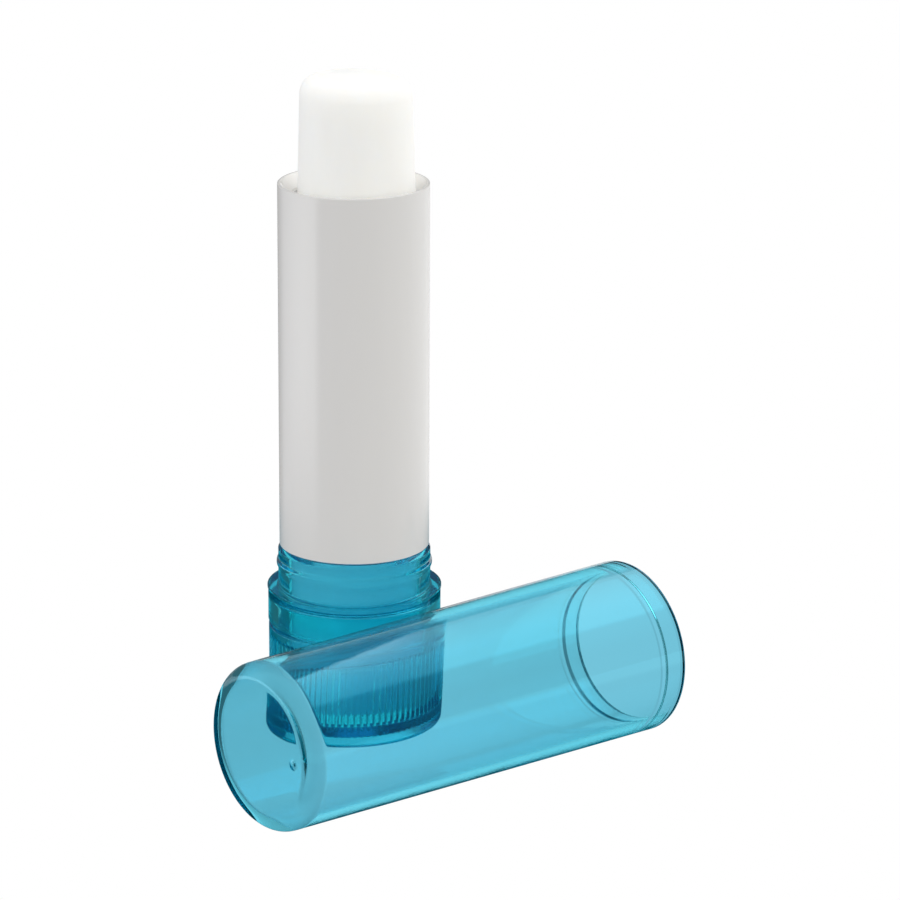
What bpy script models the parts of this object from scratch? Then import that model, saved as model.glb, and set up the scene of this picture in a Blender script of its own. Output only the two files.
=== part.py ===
"""Lip balm stick standing on its dial, with its clear cap laid on the surface in front of it.

Metres, +Z up. The origin is the middle of the whole group, on the surface that it stands on.
The cap lies along X with its mouth towards +X; the stick stands behind it, on the +Y side.
"""
import math

import bmesh
import bpy
from mathutils import Matrix

# Clearances
FIT_GAP = 0.0003            # between pieces that seat on, or run in, each other
SEAM_GAP = 0.0002           # between the barrel's shoulder and the neck that it sits on
CUT_OVERRUN = 0.0004        # how far a cutter or a joined form runs past the face that it meets
MERGE_DISTANCE = 0.000001   # points closer than this are one point

# Facets round each turned form
TURN_STEPS = 48
SPINDLE_STEPS = 16
HEX_SIDES = 6

# Clear plastic
CLEAR_SHARE = 0.9           # share of the light that passes its surface
CLEAR_IOR = 1.58

# Barrel, the white inner tube
BARREL_BORE_RADIUS = 0.0073
BARREL_WALL = 0.00106
BARREL_LENGTH = 0.0412      # from its shoulder on the neck up to its mouth
MOUTH_LAND = 0.00028        # flat ring left round the mouth by its bevel
MOUTH_BEVEL_DEPTH = 0.0011
MOUTH_EDGE = 0.0001         # broken outer edge of the mouth
SPIGOT_STEP = 0.00131       # how much the spigot is smaller than the tube, on the radius
SPIGOT_WALL = 0.0010
SPIGOT_FLOOR_CLEARANCE = 0.0010
SPIGOT_LEAD = 0.0004
WEB_THICKNESS = 0.0010      # bearing wall over the spindle's flange
SNAP_BITE = 0.0003          # how far the spigot's bead reaches past the dial's ring
SNAP_BEAD_HEIGHT = 0.0009
RIB_COUNT = 4
RIB_PROUD = 0.00035
RIB_WIDTH = 0.0010
RIB_MOUTH_SETBACK = 0.0025
RIB_SEAT_SETBACK = 0.0006

# Collar, the clear sleeve with the neck that the cap snaps on
NECK_WALL = 0.00117
NECK_HEIGHT = 0.0046
NECK_CHAMFER = 0.00036
NECK_ROOT_FILLET = 0.00015
BEAD_HEIGHT = 0.0011
BEAD_PROUD = 0.00018
BEAD_ABOVE_SHOULDER = 0.00266
BEAD_FLAT_SHARE = 0.36      # share of the bead's height that is flat
SHOULDER_LEDGE = 0.00115    # width of the ledge that the cap's mouth meets
BAND_HEIGHT = 0.00405
BAND_CHAMFER = 0.00014
LIP_PROUD = 0.00008         # the band's top edge stands out by this
LIP_HEIGHT = 0.0003
COLLAR_WEB = 0.0011

# Dial, the fluted knob
DIAL_HEIGHT = 0.0126
DIAL_STEP = 0.00005         # the dial is smaller than the band by this, on the radius
DIAL_WALL = 0.0013
DIAL_FLOOR = 0.0014
DIAL_SEAM = 0.00035
DIAL_RIM_CHAMFER = 0.00028
DIAL_RING_HEIGHT = 0.0016   # thick part of the wall that holds the spigot's bead
DIAL_TONGUE_WALL = 0.00095
DIAL_TONGUE_CHAMFER = 0.00015
FOOT_FILLET = 0.0012
FOOT_RING_WIDTH = 0.0011
FOOT_RECESS_DEPTH = 0.0012
FOOT_CHAMFER = 0.0002
FLUTE_COUNT = 84
FLUTE_DEPTH = 0.00024
FLUTE_FLANK = 0.00021
FLUTE_START = 0.0032        # plain band left below the flutes
FLUTE_RIM_LAND = 0.0009     # plain band left above them
BOSS_HEIGHT = 0.0028
BOSS_WALL = 0.0012

# Spindle, the drive screw
CORE_RADIUS = 0.0013
FLIGHT_RADIUS = 0.0028
FLIGHT_ROOT_WIDTH = 0.0022
FLIGHT_TIP_WIDTH = 0.0015
FLIGHT_SINK = 0.0005        # how deep the flight is rooted in the core
LEAD = 0.0050               # travel for one turn, right-handed
FLIGHT_TURN = math.pi / SPINDLE_STEPS   # the flight starts half a facet round from the core's corners
FLANGE_THICKNESS = 0.0012
FLIGHT_WEB_CLEARANCE = 0.0010
FLIGHT_TIP_SETBACK = 0.0012
SPINDLE_TOP_CHAMFER = 0.0005
SPINDLE_LENGTH = 0.0516     # from the top of its flange to its tip
HEX_RADIUS = 0.0020

# Carrier, the cup with the nut
CUP_WALL = 0.0009
CUP_HEIGHT = 0.0070
CUP_FLOOR = 0.0012
CUP_CHAMFER = 0.00025
HUB_WALL = 0.0009
HUB_HEIGHT = 0.0060
NUT_SIDE_PLAY = 0.0004      # along the axis, between each side of the nut's thread and the flight
NUT_SETBACK = 0.0004        # from the hub's two ends to the nut's thread
PARK_CLEARANCE = 0.0003     # carrier over the step in the barrel when wound right down

# Balm
BALM_RADIUS = 0.00645
BALM_NOSE_RADIUS = 0.00619
BALM_TAPER_LENGTH = 0.0130
BALM_NOSE_FILLET = 0.0020
BALM_DOME_HEIGHT = 0.0005
BALM_LENGTH = 0.0376
BALM_BORE_GAP = 0.0004      # round the flight
BALM_NOSE_SOLID = 0.0032    # balm left over the spindle's tip
BALM_SET_OFF = 0.0003       # the stick of balm stands this far to one side of the tube's middle
BALM_SET_OFF_TURN = math.radians(-38.0)
BALM_TOP_TILT = math.radians(2.0)
LIFT_AT_REST = 0.0130       # how far the balm is wound up

# Cap
CAP_LENGTH = 0.05175
CAP_TAPER = 0.00055         # the closed end is smaller than the mouth by this, on the radius
CAP_NECK_CLEARANCE = 0.00014
CAP_BARREL_CLEARANCE = 0.00012
CAP_END_WALL = 0.0014
CAP_END_FILLET = 0.0018
CAP_BOTTOM_FILLET = 0.0020
CAP_MOUTH_CHAMFER = 0.00012
CAP_LEAD_CHAMFER = 0.00025
CAP_GROOVE_SLOPE = 0.0003
CAP_ALONG = 0.0280          # from the closed end to the stick's axis, along X
CAP_SIDE_GAP = 0.00045      # between the lying cap and the dial

# Radii that follow from the sizes above, from the middle outwards
BARREL_RADIUS = BARREL_BORE_RADIUS + BARREL_WALL
SPIGOT_RADIUS = BARREL_RADIUS - SPIGOT_STEP
SPIGOT_BORE_RADIUS = SPIGOT_RADIUS - SPIGOT_WALL
COLLAR_BORE_RADIUS = SPIGOT_RADIUS + FIT_GAP
NECK_RADIUS = COLLAR_BORE_RADIUS + NECK_WALL
BEAD_RADIUS = NECK_RADIUS + BEAD_PROUD
BAND_RADIUS = NECK_RADIUS + SHOULDER_LEDGE
LIP_RADIUS = BAND_RADIUS + LIP_PROUD
DIAL_RADIUS = BAND_RADIUS - DIAL_STEP
DIAL_BORE_RADIUS = DIAL_RADIUS - DIAL_WALL
RING_RADIUS = SPIGOT_RADIUS + FIT_GAP
TONGUE_RADIUS = RING_RADIUS + DIAL_TONGUE_WALL
SKIRT_BORE_RADIUS = TONGUE_RADIUS + FIT_GAP
SNAP_RADIUS = RING_RADIUS + SNAP_BITE
FOOT_FLAT_RADIUS = DIAL_RADIUS - FOOT_FILLET
FOOT_RECESS_RADIUS = FOOT_FLAT_RADIUS - FOOT_RING_WIDTH
FLANGE_RADIUS = SPIGOT_BORE_RADIUS - FIT_GAP
WEB_HOLE_RADIUS = FLIGHT_RADIUS + FIT_GAP
HEX_SOCKET_RADIUS = HEX_RADIUS + FIT_GAP / math.cos(math.pi / HEX_SIDES)
BOSS_RADIUS = HEX_SOCKET_RADIUS + BOSS_WALL
CUP_RADIUS = BARREL_BORE_RADIUS - FIT_GAP
CUP_INNER_RADIUS = CUP_RADIUS - CUP_WALL
NOTCH_RADIUS = BARREL_BORE_RADIUS - RIB_PROUD - FIT_GAP
NUT_RADIUS = FLIGHT_RADIUS + FIT_GAP
HUB_RADIUS = NUT_RADIUS + HUB_WALL
BALM_FOOT_RADIUS = CUP_INNER_RADIUS - FIT_GAP
BALM_BORE_RADIUS = FLIGHT_RADIUS + BALM_BORE_GAP
BALM_HUB_RADIUS = HUB_RADIUS + FIT_GAP
CAP_MOUTH_RADIUS = LIP_RADIUS
CAP_END_RADIUS = CAP_MOUTH_RADIUS - CAP_TAPER
CAP_BORE_MOUTH = NECK_RADIUS + CAP_NECK_CLEARANCE
CAP_BORE_END = BARREL_RADIUS + CAP_BARREL_CLEARANCE
CAP_GROOVE_RADIUS = BEAD_RADIUS + CAP_NECK_CLEARANCE

# Heights that follow, from the surface upwards
FLOOR_TOP = FOOT_RECESS_DEPTH + DIAL_FLOOR
BOSS_TOP = FLOOR_TOP + BOSS_HEIGHT
FLANGE_BOTTOM = BOSS_TOP + FIT_GAP
FLANGE_TOP = FLANGE_BOTTOM + FLANGE_THICKNESS
WEB_BOTTOM = FLANGE_TOP + FIT_GAP
WEB_TOP = WEB_BOTTOM + WEB_THICKNESS
SPIGOT_BOTTOM = FLOOR_TOP + SPIGOT_FLOOR_CLEARANCE
RING_BOTTOM = DIAL_HEIGHT - DIAL_RING_HEIGHT
SNAP_TOP = RING_BOTTOM - FIT_GAP
SNAP_BOTTOM = SNAP_TOP - SNAP_BEAD_HEIGHT
FLUTE_LENGTH = DIAL_HEIGHT - FLUTE_RIM_LAND - FLUTE_START
COLLAR_BOTTOM = DIAL_HEIGHT + DIAL_SEAM
SHOULDER_TOP = COLLAR_BOTTOM + BAND_HEIGHT
COLLAR_WEB_BOTTOM = SHOULDER_TOP - COLLAR_WEB
TONGUE_TOP = COLLAR_WEB_BOTTOM - FIT_GAP
NECK_TOP = SHOULDER_TOP + NECK_HEIGHT
BARREL_SHOULDER = NECK_TOP + SEAM_GAP
BARREL_STEP_TOP = BARREL_SHOULDER + SPIGOT_WALL
BARREL_TOP = BARREL_SHOULDER + BARREL_LENGTH
SPINDLE_TOP = FLANGE_TOP + SPINDLE_LENGTH
FLIGHT_START = WEB_TOP + FLIGHT_WEB_CLEARANCE
FLIGHT_END = SPINDLE_TOP - FLIGHT_TIP_SETBACK
CARRIER_PARKED = BARREL_STEP_TOP + PARK_CLEARANCE
CARRIER_REST = CARRIER_PARKED + LIFT_AT_REST
BALM_FOOT = CUP_FLOOR + FIT_GAP

# Places of the two groups, so that the origin is the middle of them both
CAP_TILT = math.atan2(CAP_TAPER, CAP_LENGTH)
CAP_RADIUS_BESIDE = CAP_END_RADIUS + CAP_TAPER * CAP_ALONG / CAP_LENGTH
CAP_ACROSS = DIAL_RADIUS + CAP_SIDE_GAP + CAP_RADIUS_BESIDE
CAP_NEAR_END = (CAP_END_RADIUS - CAP_END_FILLET) * math.sin(CAP_TILT)
CAP_FAR_END = CAP_LENGTH * math.cos(CAP_TILT) + (CAP_MOUTH_RADIUS - CAP_MOUTH_CHAMFER) * math.sin(CAP_TILT)
CAP_X = (CAP_NEAR_END - CAP_FAR_END) / 2
CAP_Y = (CAP_MOUTH_RADIUS - LIP_RADIUS - CAP_ACROSS) / 2
STICK_X = CAP_X + CAP_ALONG
STICK_Y = CAP_Y + CAP_ACROSS


def clear_scene():
    """Empty the file, so that only the part is in it."""
    for item in list(bpy.data.objects):
        bpy.data.objects.remove(item, do_unlink=True)


def plastic(name, colour, roughness, transmission=0.0, ior=1.5):
    """A plain plastic or wax with its colour, roughness and clearness."""
    made = bpy.data.materials.new(name)
    made.use_nodes = True
    shader = made.node_tree.nodes["Principled BSDF"]
    shader.inputs["Base Color"].default_value = (*colour, 1.0)
    shader.inputs["Roughness"].default_value = roughness
    shader.inputs["Metallic"].default_value = 0.0
    shader.inputs["Transmission Weight"].default_value = transmission
    shader.inputs["IOR"].default_value = ior
    made.diffuse_color = (*colour, 1.0)
    return made


def arc(centre_r, centre_z, radius, start, end, steps):
    """Points (r, z) along a round edge of a profile."""
    points = []
    for i in range(steps + 1):
        angle = math.radians(start + (end - start) * i / steps)
        points.append((centre_r + radius * math.cos(angle), centre_z + radius * math.sin(angle)))
    return points


def turned(profile, steps=TURN_STEPS):
    """A body of revolution round Z from a profile of (r, z) points.

    A profile that starts and ends on the axis is left open there; any other one is closed.
    """
    bm = bmesh.new()
    verts = [bm.verts.new((r, 0.0, z)) for r, z in profile]
    edges = [bm.edges.new(pair) for pair in zip(verts, verts[1:])]
    if profile[0][0] > 0.0:
        edges.append(bm.edges.new((verts[-1], verts[0])))
    bmesh.ops.spin(bm, geom=verts + edges, cent=(0.0, 0.0, 0.0), axis=(0.0, 0.0, 1.0),
                   dvec=(0.0, 0.0, 0.0), angle=math.tau, steps=steps, use_merge=True)
    bmesh.ops.remove_doubles(bm, verts=bm.verts, dist=MERGE_DISTANCE)
    bmesh.ops.recalc_face_normals(bm, faces=bm.faces)
    return bm


def helix(inner, outer, inner_width, outer_width, start_z, start_angle, turns, steps_per_turn):
    """A right-handed flight: a trapezoid section swept round Z, rising by the lead each turn."""
    bm = bmesh.new()
    section = [(inner, -inner_width / 2), (outer, -outer_width / 2), (outer, outer_width / 2), (inner, inner_width / 2)]
    verts = [bm.verts.new((r, 0.0, z)) for r, z in section]
    face = bm.faces.new(verts)
    steps = max(2, round(turns * steps_per_turn))
    angle = math.tau * steps / steps_per_turn
    bmesh.ops.spin(bm, geom=[face, *face.edges, *verts], cent=(0.0, 0.0, 0.0), axis=(0.0, 0.0, 1.0),
                   dvec=(0.0, 0.0, LEAD / steps_per_turn), angle=angle, steps=steps)
    place = Matrix.Translation((0.0, 0.0, start_z)) @ Matrix.Rotation(start_angle, 4, "Z")
    bmesh.ops.transform(bm, matrix=place, verts=bm.verts)
    bmesh.ops.recalc_face_normals(bm, faces=bm.faces)
    return bm


def bars(count, inner, outer, width, bottom, top):
    """Upright bars set evenly round Z, from one radius to another."""
    bm = bmesh.new()
    for i in range(count):
        bar = bmesh.ops.create_cube(bm, size=1.0)["verts"]
        shape = Matrix.Diagonal((outer - inner, width, top - bottom, 1.0))
        place = Matrix.Translation(((inner + outer) / 2, 0.0, (bottom + top) / 2))
        turn = Matrix.Rotation(math.tau * i / count, 4, "Z")
        bmesh.ops.transform(bm, matrix=turn @ place @ shape, verts=bar)
    return bm


def prism(radius, sides, bottom, top):
    """An upright prism round Z."""
    bm = bmesh.new()
    place = Matrix.Translation((0.0, 0.0, (bottom + top) / 2))
    bmesh.ops.create_cone(bm, cap_ends=True, segments=sides, radius1=radius, radius2=radius,
                          depth=top - bottom, matrix=place)
    return bm


def add_object(name, bm, made_of=None, parent=None, location=(0.0, 0.0, 0.0), rotation=(0.0, 0.0, 0.0)):
    """Put a mesh in the scene as a named object."""
    mesh = bpy.data.meshes.new(name)
    bm.to_mesh(mesh)
    bm.free()
    if made_of:
        mesh.materials.append(made_of)
    mesh.shade_smooth()
    mesh.set_sharp_from_angle(angle=math.radians(32.0))
    item = bpy.data.objects.new(name, mesh)
    bpy.context.scene.collection.objects.link(item)
    item.parent = parent
    item.location = location
    item.rotation_euler = rotation
    return item


def add_helper(name, bm, parent, location=(0.0, 0.0, 0.0)):
    """A form that only cuts, or is joined to, another piece."""
    item = add_object(name, bm, parent=parent, location=location)
    item.hide_render = True
    item.display_type = "WIRE"
    return item


def add_empty(name, location, parent=None):
    """A frame that carries pieces that stay together."""
    item = bpy.data.objects.new(name, None)
    bpy.context.scene.collection.objects.link(item)
    item.parent = parent
    item.location = location
    return item


def combine(item, helper, operation):
    """Cut a helper from a piece, or join it on."""
    step = item.modifiers.new(helper.name, "BOOLEAN")
    step.operation = operation
    step.solver = "EXACT"
    step.object = helper


def barrel_profile():
    """Outer side from the mouth down over the shoulder and the spigot, then up the bore."""
    snap_slope = SNAP_RADIUS - SPIGOT_RADIUS
    outer = [
        (BARREL_RADIUS - MOUTH_EDGE, BARREL_TOP),
        (BARREL_RADIUS, BARREL_TOP - MOUTH_EDGE),
        (BARREL_RADIUS, BARREL_SHOULDER),
        (SPIGOT_RADIUS, BARREL_SHOULDER),
        (SPIGOT_RADIUS, SNAP_TOP),
        (SNAP_RADIUS, SNAP_TOP),
        (SNAP_RADIUS, SNAP_BOTTOM + snap_slope),
        (SPIGOT_RADIUS, SNAP_BOTTOM),
        (SPIGOT_RADIUS, SPIGOT_BOTTOM + SPIGOT_LEAD),
        (SPIGOT_RADIUS - SPIGOT_LEAD, SPIGOT_BOTTOM),
    ]
    inner = [
        (SPIGOT_BORE_RADIUS, SPIGOT_BOTTOM),
        (SPIGOT_BORE_RADIUS, WEB_BOTTOM),
        (WEB_HOLE_RADIUS, WEB_BOTTOM),
        (WEB_HOLE_RADIUS, WEB_TOP),
        (SPIGOT_BORE_RADIUS, WEB_TOP),
        (SPIGOT_BORE_RADIUS, BARREL_SHOULDER),
        (BARREL_BORE_RADIUS, BARREL_STEP_TOP),
        (BARREL_BORE_RADIUS, BARREL_TOP - MOUTH_BEVEL_DEPTH),
        (BARREL_RADIUS - MOUTH_EDGE - MOUTH_LAND, BARREL_TOP),
    ]
    return outer + inner


def add_barrel(stick, white):
    """White tube with a bevelled mouth, and ribs in its bore that keep the carrier from turning."""
    barrel = add_object("barrel", turned(barrel_profile()), white, stick)
    ribs = bars(RIB_COUNT, BARREL_BORE_RADIUS - RIB_PROUD, BARREL_BORE_RADIUS + CUT_OVERRUN, RIB_WIDTH,
                BARREL_STEP_TOP + RIB_SEAT_SETBACK, BARREL_TOP - RIB_MOUTH_SETBACK)
    combine(barrel, add_helper("barrel_ribs", ribs, stick), "UNION")
    return barrel


def collar_profile():
    """Outer side from the neck's top down over the bead, shoulder and band, then up the bores."""
    bead_middle = SHOULDER_TOP + BEAD_ABOVE_SHOULDER
    half = BEAD_HEIGHT / 2
    flat = half * BEAD_FLAT_SHARE
    neck = [
        (NECK_RADIUS - NECK_CHAMFER, NECK_TOP),
        (NECK_RADIUS, NECK_TOP - NECK_CHAMFER),
        (NECK_RADIUS, bead_middle + half),
        (BEAD_RADIUS, bead_middle + flat),
        (BEAD_RADIUS, bead_middle - flat),
        (NECK_RADIUS, bead_middle - half),
        (NECK_RADIUS, SHOULDER_TOP + NECK_ROOT_FILLET),
        (NECK_RADIUS + NECK_ROOT_FILLET, SHOULDER_TOP),
    ]
    band = [
        (BAND_RADIUS, SHOULDER_TOP),
        (LIP_RADIUS, SHOULDER_TOP - LIP_PROUD),
        (LIP_RADIUS, SHOULDER_TOP - LIP_HEIGHT + LIP_PROUD),
        (BAND_RADIUS, SHOULDER_TOP - LIP_HEIGHT),
        (BAND_RADIUS, COLLAR_BOTTOM + BAND_CHAMFER),
        (BAND_RADIUS - BAND_CHAMFER, COLLAR_BOTTOM),
    ]
    inside = [
        (SKIRT_BORE_RADIUS, COLLAR_BOTTOM),
        (SKIRT_BORE_RADIUS, COLLAR_WEB_BOTTOM),
        (COLLAR_BORE_RADIUS, COLLAR_WEB_BOTTOM),
        (COLLAR_BORE_RADIUS, NECK_TOP),
    ]
    return neck + band + inside


def add_collar(stick, clear):
    """Clear sleeve with the neck and its snap bead, the shoulder and the smooth band."""
    return add_object("collar", turned(collar_profile()), clear, stick)


def dial_profile():
    """Outer side from the tongue's top down to the foot, the recess below, then up the inside."""
    outside = [
        (TONGUE_RADIUS - DIAL_TONGUE_CHAMFER, TONGUE_TOP),
        (TONGUE_RADIUS, TONGUE_TOP - DIAL_TONGUE_CHAMFER),
        (TONGUE_RADIUS, DIAL_HEIGHT),
        (DIAL_RADIUS - DIAL_RIM_CHAMFER, DIAL_HEIGHT),
        (DIAL_RADIUS, DIAL_HEIGHT - DIAL_RIM_CHAMFER),
        (DIAL_RADIUS, FLUTE_START + FLUTE_LENGTH),
        (DIAL_RADIUS, FLUTE_START),
    ]
    foot = arc(FOOT_FLAT_RADIUS, FOOT_FILLET, FOOT_FILLET, 0.0, -90.0, 4)
    recess = [
        (FOOT_RECESS_RADIUS + FOOT_CHAMFER, 0.0),
        (FOOT_RECESS_RADIUS, FOOT_CHAMFER),
        (FOOT_RECESS_RADIUS, FOOT_RECESS_DEPTH),
        (0.0, FOOT_RECESS_DEPTH),
    ]
    inside = [
        (0.0, FLOOR_TOP),
        (DIAL_BORE_RADIUS, FLOOR_TOP),
        (DIAL_BORE_RADIUS, RING_BOTTOM),
        (RING_RADIUS, RING_BOTTOM),
        (RING_RADIUS, TONGUE_TOP),
    ]
    return outside + foot + recess, inside


def add_dial(carrier_frame, clear):
    """Clear knob: turned shell, flutes pressed into its side, and a boss with a hexagonal socket."""
    outer, inner = dial_profile()
    bm = turned(inner + outer, FLUTE_COUNT)
    low = FLUTE_START + FLUTE_LENGTH / 4
    high = FLUTE_START + FLUTE_LENGTH * 3 / 4
    side = [f for f in bm.faces
            if low < f.calc_center_median().z < high and f.calc_center_median().xy.length > DIAL_BORE_RADIUS + DIAL_WALL / 2]
    bmesh.ops.inset_individual(bm, faces=side, thickness=FLUTE_FLANK, depth=-FLUTE_DEPTH)
    dial = add_object("dial", bm, clear, carrier_frame)
    boss = prism(BOSS_RADIUS, TURN_STEPS // 2, FLOOR_TOP - CUT_OVERRUN, BOSS_TOP)
    combine(dial, add_helper("dial_boss", boss, carrier_frame), "UNION")
    socket = prism(HEX_SOCKET_RADIUS, HEX_SIDES, FLOOR_TOP, BOSS_TOP + CUT_OVERRUN)
    combine(dial, add_helper("dial_socket", socket, carrier_frame), "DIFFERENCE")
    return dial


def spindle_profile():
    """The tip, the core, the flange and the foot on the axis."""
    return [
        (0.0, SPINDLE_TOP),
        (CORE_RADIUS - SPINDLE_TOP_CHAMFER, SPINDLE_TOP),
        (CORE_RADIUS, SPINDLE_TOP - SPINDLE_TOP_CHAMFER),
        (CORE_RADIUS, FLANGE_TOP),
        (FLANGE_RADIUS, FLANGE_TOP),
        (FLANGE_RADIUS, FLANGE_BOTTOM),
        (0.0, FLANGE_BOTTOM),
    ]


def add_spindle(dial_frame, white):
    """Drive screw: core and flange, a coarse helical flight, and a hexagonal key below."""
    spindle = add_object("spindle", turned(spindle_profile(), SPINDLE_STEPS), white, dial_frame)
    turns = (FLIGHT_END - FLIGHT_START - FLIGHT_ROOT_WIDTH) / LEAD
    sink = CORE_RADIUS - FLIGHT_SINK
    flight = helix(sink, FLIGHT_RADIUS, FLIGHT_ROOT_WIDTH, FLIGHT_TIP_WIDTH,
                   FLIGHT_START + FLIGHT_ROOT_WIDTH / 2, FLIGHT_TURN, turns, SPINDLE_STEPS)
    combine(spindle, add_helper("spindle_flight", flight, dial_frame), "UNION")
    key = prism(HEX_RADIUS, HEX_SIDES, FLOOR_TOP + FIT_GAP, FLANGE_BOTTOM + CUT_OVERRUN)
    combine(spindle, add_helper("spindle_key", key, dial_frame), "UNION")
    return spindle


def carrier_profile():
    """Cup wall outside, underside, nut bore, hub and cup floor."""
    return [
        (CUP_RADIUS - CUP_CHAMFER, CUP_HEIGHT),
        (CUP_RADIUS, CUP_HEIGHT - CUP_CHAMFER),
        (CUP_RADIUS, CUP_CHAMFER),
        (CUP_RADIUS - CUP_CHAMFER, 0.0),
        (NUT_RADIUS, 0.0),
        (NUT_RADIUS, HUB_HEIGHT),
        (HUB_RADIUS, HUB_HEIGHT),
        (HUB_RADIUS, CUP_FLOOR),
        (CUP_INNER_RADIUS, CUP_FLOOR),
        (CUP_INNER_RADIUS, CUP_HEIGHT),
    ]


def nut_thread():
    """The nut's thread lies halfway between two turns of the flight, with the same flank angle."""
    tip_radius = CORE_RADIUS + FIT_GAP
    root_radius = NUT_RADIUS + HUB_WALL / 2
    slope = (FLIGHT_ROOT_WIDTH - FLIGHT_TIP_WIDTH) / (FLIGHT_RADIUS - CORE_RADIUS)
    tip_width = LEAD - FLIGHT_ROOT_WIDTH - 2 * NUT_SIDE_PLAY
    root_width = tip_width + slope * (root_radius - tip_radius)
    start_z = NUT_SETBACK + root_width / 2
    turns = (HUB_HEIGHT - NUT_SETBACK - root_width / 2 - start_z) / LEAD
    flight_z = FLIGHT_START + FLIGHT_ROOT_WIDTH / 2
    phase = (CARRIER_REST + start_z - flight_z) / LEAD - 1 / 2
    return helix(tip_radius, root_radius, tip_width, root_width, start_z,
                 FLIGHT_TURN + math.tau * (phase % 1.0), turns, SPINDLE_STEPS)


def add_carrier(lift_frame, white):
    """Cup that grips the balm, with the nut in its hub and notches for the barrel's ribs."""
    carrier = add_object("carrier", turned(carrier_profile()), white, lift_frame)
    combine(carrier, add_helper("carrier_thread", nut_thread(), lift_frame), "UNION")
    notches = bars(RIB_COUNT, NOTCH_RADIUS, CUP_RADIUS + CUT_OVERRUN, RIB_WIDTH + 2 * FIT_GAP,
                   -CUT_OVERRUN, CUP_HEIGHT + CUT_OVERRUN)
    combine(carrier, add_helper("carrier_notches", notches, lift_frame), "DIFFERENCE")
    return carrier


def balm_profile():
    """The column of balm, from its domed nose down to the rim of the cup, on its own axis."""
    top = BALM_FOOT + BALM_LENGTH
    shoulder = top - BALM_DOME_HEIGHT
    flat = BALM_NOSE_RADIUS - BALM_NOSE_FILLET
    dome = []
    for i in range(4):
        share = i / 4
        dome.append((flat * share, top - BALM_DOME_HEIGHT * share * share))
    side = arc(flat, shoulder - BALM_NOSE_FILLET, BALM_NOSE_FILLET, 90.0, 0.0, 6)
    low = [
        (BALM_RADIUS, top - BALM_TAPER_LENGTH),
        (BALM_RADIUS, CUP_HEIGHT + FIT_GAP),
        (0.0, CUP_HEIGHT + FIT_GAP),
    ]
    return dome + side + low


def tilt_nose(bm):
    """The nose was cut a little out of level: its points drop towards the set-off side."""
    top = BALM_FOOT + BALM_LENGTH
    start = top - BALM_TAPER_LENGTH / 2
    for vert in bm.verts:
        if vert.co.z > start:
            along = vert.co.x * math.cos(BALM_SET_OFF_TURN) + vert.co.y * math.sin(BALM_SET_OFF_TURN)
            share = (vert.co.z - start) / (top - start)
            vert.co.z -= along * math.tan(BALM_TOP_TILT) * share


def add_balm(lift_frame, wax):
    """Stick of balm: column, foot in the cup, and the bore that the spindle leaves in it."""
    column = turned(balm_profile())
    tilt_nose(column)
    aside = Matrix.Translation((BALM_SET_OFF * math.cos(BALM_SET_OFF_TURN),
                                BALM_SET_OFF * math.sin(BALM_SET_OFF_TURN), 0.0))
    bmesh.ops.transform(column, matrix=aside, verts=column.verts)
    balm = add_object("balm", column, wax, lift_frame)
    foot = prism(BALM_FOOT_RADIUS, TURN_STEPS, BALM_FOOT, CUP_HEIGHT + FIT_GAP + CUT_OVERRUN)
    combine(balm, add_helper("balm_foot", foot, lift_frame), "UNION")
    bore_top = BALM_FOOT + BALM_LENGTH - BALM_NOSE_SOLID
    bore = turned([
        (0.0, bore_top),
        (BALM_BORE_RADIUS, bore_top),
        (BALM_BORE_RADIUS, HUB_HEIGHT + FIT_GAP),
        (BALM_HUB_RADIUS, HUB_HEIGHT + FIT_GAP),
        (BALM_HUB_RADIUS, BALM_FOOT - CUT_OVERRUN),
        (0.0, BALM_FOOT - CUT_OVERRUN),
    ], TURN_STEPS // 2)
    combine(balm, add_helper("balm_bore", bore, lift_frame), "DIFFERENCE")
    return balm


def cap_radius(share):
    """Outer radius at a share of the cap's length from its closed end."""
    return CAP_END_RADIUS + CAP_TAPER * share


def cap_bore(from_end):
    """Radius of the bore at a distance from the closed end."""
    share = (from_end - CAP_END_WALL) / (CAP_LENGTH - CAP_END_WALL)
    return CAP_BORE_END + (CAP_BORE_MOUTH - CAP_BORE_END) * share


def cap_profile():
    """Outside from the middle of the closed end to the mouth, then back down the bore."""
    fillet_share = CAP_END_FILLET / CAP_LENGTH
    end_radius = cap_radius(fillet_share) - CAP_END_FILLET
    outside = [(0.0, 0.0)] + arc(end_radius, CAP_END_FILLET, CAP_END_FILLET, -90.0, 0.0, 6)
    mouth_share = (CAP_LENGTH - CAP_MOUTH_CHAMFER) / CAP_LENGTH
    mouth = [
        (cap_radius(mouth_share), CAP_LENGTH - CAP_MOUTH_CHAMFER),
        (CAP_MOUTH_RADIUS - CAP_MOUTH_CHAMFER, CAP_LENGTH),
        (CAP_BORE_MOUTH + CAP_LEAD_CHAMFER, CAP_LENGTH),
        (CAP_BORE_MOUTH, CAP_LENGTH - CAP_LEAD_CHAMFER),
    ]
    groove_middle = CAP_LENGTH - BEAD_ABOVE_SHOULDER
    half = BEAD_HEIGHT / 2
    groove = [
        (cap_bore(groove_middle + half), groove_middle + half),
        (CAP_GROOVE_RADIUS, groove_middle + half - CAP_GROOVE_SLOPE),
        (CAP_GROOVE_RADIUS, groove_middle - half + CAP_GROOVE_SLOPE),
        (cap_bore(groove_middle - half), groove_middle - half),
    ]
    bottom_start = CAP_END_WALL + CAP_BOTTOM_FILLET
    bottom = arc(cap_bore(bottom_start) - CAP_BOTTOM_FILLET, bottom_start, CAP_BOTTOM_FILLET, 0.0, -90.0, 5)
    return outside + mouth + groove + bottom + [(0.0, CAP_END_WALL)]


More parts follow.
